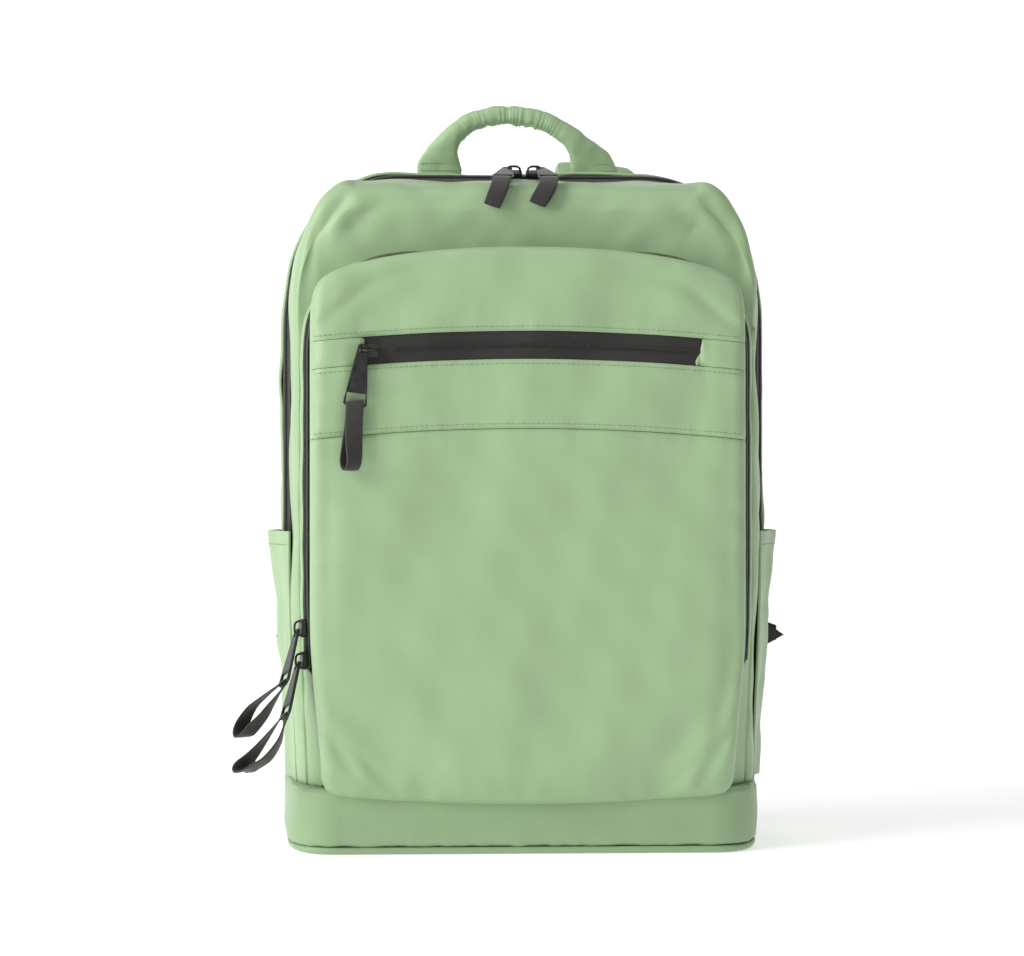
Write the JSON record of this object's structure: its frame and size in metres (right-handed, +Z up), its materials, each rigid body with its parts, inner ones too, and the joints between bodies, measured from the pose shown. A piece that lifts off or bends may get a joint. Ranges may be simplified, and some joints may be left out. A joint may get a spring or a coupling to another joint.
{
  "type": "laptop backpack",
  "caption": "Soft laptop backpack with an arch zip, a front compartment with a zipped pocket, open side pockets, a carry handle and shoulder straps.",
  "frame": {"origin": "centre of the flat bottom, on the surface that the bag stands on", "axes": "+Z up; -Y towards the front of the bag; +X to the viewer's right seen from the front"},
  "size_m": [0.3508, 0.1968, 0.4712],
  "materials": {
    "shell_fabric": "smooth coated sage green bag cloth, semi-matte",
    "zip_tape": "charcoal woven zip tape",
    "webbing": "charcoal woven ribbon and webbing",
    "zip_metal": "dark gunmetal, satin",
    "buckle_plastic": "black moulded plastic",
    "pad_mesh": "dark grey padded mesh"
  },
  "bodies": {
    "root": {"base_floor": "shell_fabric", "base_band": "shell_fabric", "front_shell": "shell_fabric", "back_shell": "shell_fabric", "main_zip": "zip_tape", "compartment_gusset": "shell_fabric", "compartment_zip": "zip_tape", "cover_upper": "shell_fabric", "cover_welt_left": "shell_fabric", "cover_welt_right": "shell_fabric", "cover_band": "shell_fabric", "cover_lower": "shell_fabric", "pocket_zip": "zip_tape", "side_pocket_left": "shell_fabric", "side_pocket_right": "shell_fabric", "carry_handle": "shell_fabric", "back_pad": "pad_mesh", "shoulder_strap_left": "shell_fabric", "shoulder_strap_right": "shell_fabric", "strap_buckle_left": "buckle_plastic", "strap_buckle_right": "buckle_plastic", "strap_webbing_left": "webbing", "strap_webbing_right": "webbing", "strap_anchor_left": "webbing", "strap_anchor_right": "webbing", "slider_pocket": "zip_metal", "pull_tab_pocket": "zip_metal", "pull_loop_pocket": "webbing", "slider_top_left": "zip_metal", "pull_tab_top_left": "zip_metal", "pull_loop_top_left": "webbing", "slider_top_right": "zip_metal", "pull_tab_top_right": "zip_metal", "pull_loop_top_right": "webbing", "slider_side_upper": "zip_metal", "pull_tab_side_upper": "zip_metal", "pull_loop_side_upper": "webbing", "slider_side_lower": "zip_metal", "pull_tab_side_lower": "zip_metal", "pull_loop_side_lower": "webbing"}
  },
  "joints": []
}
